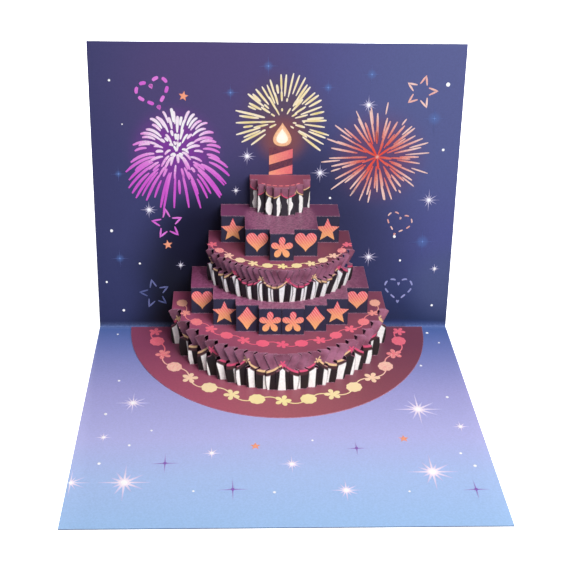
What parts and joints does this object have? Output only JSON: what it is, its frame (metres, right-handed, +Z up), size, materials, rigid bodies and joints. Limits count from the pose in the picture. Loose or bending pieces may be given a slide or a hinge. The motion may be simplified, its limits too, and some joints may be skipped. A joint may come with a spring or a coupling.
{
  "type": "pop up card",
  "caption": "Greeting card standing open on its base panel, with a tiered paper cake of slit strips and stepped panels that folds up between the panels.",
  "frame": {"origin": "middle of the underside of the base panel", "axes": "+X to the reader's right along the fold, +Y from the reader to the fold, +Z up"},
  "size_m": [0.2, 0.194, 0.1558],
  "materials": {
    "printed_cover": "satin printed card, night blue back panel and lavender base panel",
    "printed_cake": "satin printed card, plum frosting over black and white stripes, pale worn creases"
  },
  "bodies": {
    "root": {"cover_card": "printed_cover", "cake_sheet": "printed_cake"}
  },
  "joints": []
}
